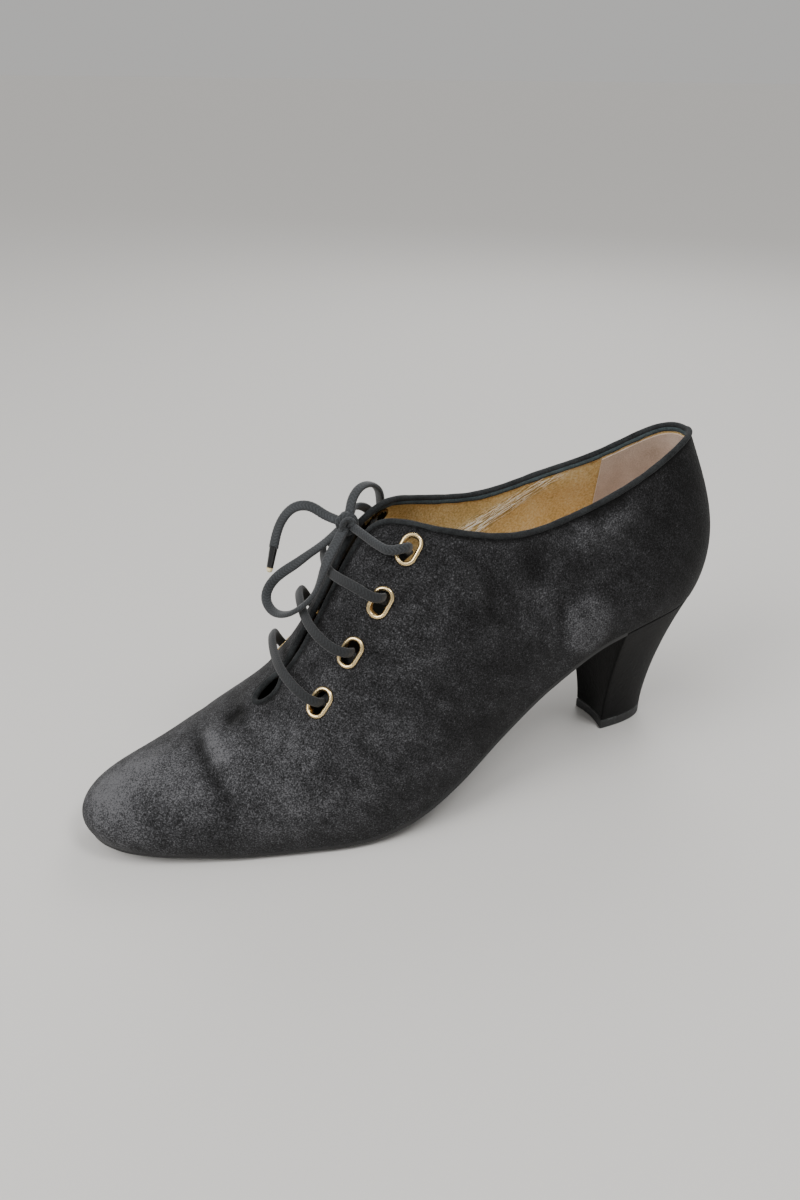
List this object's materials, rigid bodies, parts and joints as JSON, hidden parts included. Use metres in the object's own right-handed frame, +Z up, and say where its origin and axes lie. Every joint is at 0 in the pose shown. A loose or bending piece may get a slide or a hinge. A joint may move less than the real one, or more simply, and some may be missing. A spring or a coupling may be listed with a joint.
{
  "type": "lace-up high heel",
  "caption": "Woman's suede lace-up heel with an almond toe, a keyhole throat slit laced through paired metal eyelets, a bound collar and a curved covered heel.",
  "frame": {"origin": "middle of the shoe's footprint box, on the floor", "axes": "+X towards the toe, +Y towards the outer (lateral) side, +Z up"},
  "size_m": [0.242, 0.0773, 0.1235],
  "materials": {
    "black_suede": "napped",
    "binding_tape": "woven",
    "sole_leather": "satin",
    "insole_leather": "satin",
    "top_piece_rubber": "matte",
    "pale_gold_metal": "polished",
    "lace_cotton": "woven",
    "aglet_plastic": "glossy"
  },
  "bodies": {
    "root": {"upper": "black_suede", "collar_binding": "binding_tape", "outsole": "sole_leather", "insole": "insole_leather", "heel": "black_suede", "heel_top_piece": "top_piece_rubber", "eyelet_lateral_1": "pale_gold_metal", "eyelet_lateral_2": "pale_gold_metal", "eyelet_lateral_3": "pale_gold_metal", "eyelet_lateral_4": "pale_gold_metal", "eyelet_medial_1": "pale_gold_metal", "eyelet_medial_2": "pale_gold_metal", "eyelet_medial_3": "pale_gold_metal", "eyelet_medial_4": "pale_gold_metal", "lace_bar_2": "lace_cotton", "lace_bar_3": "lace_cotton", "lace_bar_4": "lace_cotton", "lace_tie_lateral": "lace_cotton", "lace_tie_medial": "lace_cotton", "lace_knot": "lace_cotton", "lace_loop": "lace_cotton", "lace_end_1": "lace_cotton", "lace_end_2": "lace_cotton", "aglet_1": "aglet_plastic", "aglet_2": "aglet_plastic"}
  },
  "joints": []
}
